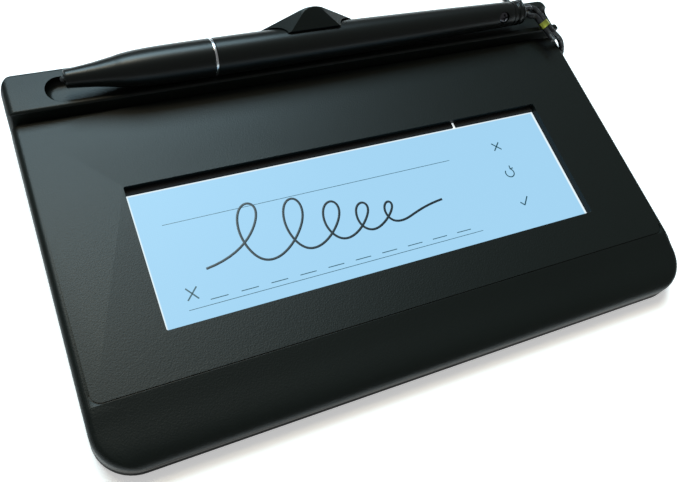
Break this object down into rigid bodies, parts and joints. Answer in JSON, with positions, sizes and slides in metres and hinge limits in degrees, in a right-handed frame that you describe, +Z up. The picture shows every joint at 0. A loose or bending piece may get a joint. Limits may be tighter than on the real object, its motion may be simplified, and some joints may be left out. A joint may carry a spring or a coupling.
{
  "type": "signature pad",
  "caption": "Wedge-shaped desktop signature pad with a lit display in its sloping deck, a pen tray with a hood along the back, and a tethered pen.",
  "frame": {"origin": "on the table under the middle of the housing and its hood", "axes": "+X to the right along the pen, +Y to the back, +Z up; the deck faces up and towards -Y"},
  "size_m": [0.1659, 0.1389, 0.0292],
  "materials": {
    "case_plastic": "fine texture",
    "pen_plastic": "fine texture",
    "black_foam": "matte",
    "lit_window": "anti-glare, lit from behind",
    "display_glass": "clear",
    "light_guide": "clear",
    "white_plastic": "satin",
    "circuit_board": "solder mask",
    "steel": "satin",
    "chip_plastic": "matte",
    "capacitor_body": "matte",
    "ribbon_film": "film",
    "foot_rubber": "matte",
    "ring_metal": "bright",
    "nib_plastic": "smooth",
    "copper_coil": "enamelled wire",
    "cord": "braided",
    "crimp_metal": "plated",
    "tie_plastic": "matte"
  },
  "bodies": {
    "case": {"base_case": "case_plastic", "top_cover": "case_plastic", "pen_tray": "case_plastic", "pen_hood": "case_plastic", "dust_seal": "black_foam", "display_window": "lit_window", "lcd_glass": "display_glass", "light_guide": "light_guide", "light_frame": "white_plastic", "sensor_board": "circuit_board", "display_screws": "steel", "main_board": "circuit_board", "board_screws": "steel", "ribbon_connectors": "white_plastic", "processor_chip": "chip_plastic", "regulator_chip": "chip_plastic", "clock_crystal": "steel", "board_capacitors": "capacitor_body", "cable_header": "white_plastic", "display_ribbon": "ribbon_film", "sensor_ribbon": "ribbon_film", "case_screws": "steel", "rubber_feet": "foot_rubber", "cable_gland": "foot_rubber", "tether_anchor": "foot_rubber", "tether_end": "cord", "tether_hank": "cord", "hank_tie": "tie_plastic", "tether_run": "cord"},
    "pen": {"pen_grip": "pen_plastic", "pen_ring": "ring_metal", "pen_barrel": "pen_plastic", "pen_end_cap": "pen_plastic", "pen_eyelet": "steel", "pen_screw": "steel", "nib_spring": "steel", "pen_coil": "copper_coil", "pen_switch": "chip_plastic", "pen_board": "circuit_board", "tether_loop": "cord", "tether_crimp": "crimp_metal", "tether_tail": "cord", "tether_lead": "cord"},
    "nib": {"pen_nib": "nib_plastic"}
  },
  "joints": [
    {"name": "pen_slide", "type": "slide", "parent": "case", "child": "pen", "axis": [1, 0, 0], "range_m": [-0.002, 0.076]},
    {"name": "nib_press", "type": "slide", "parent": "pen", "child": "nib", "axis": [1, 0, 0], "range_m": [0, 0.0006], "stiffness_N_per_m": 200, "deforming": ["nib_spring"]}
  ]
}
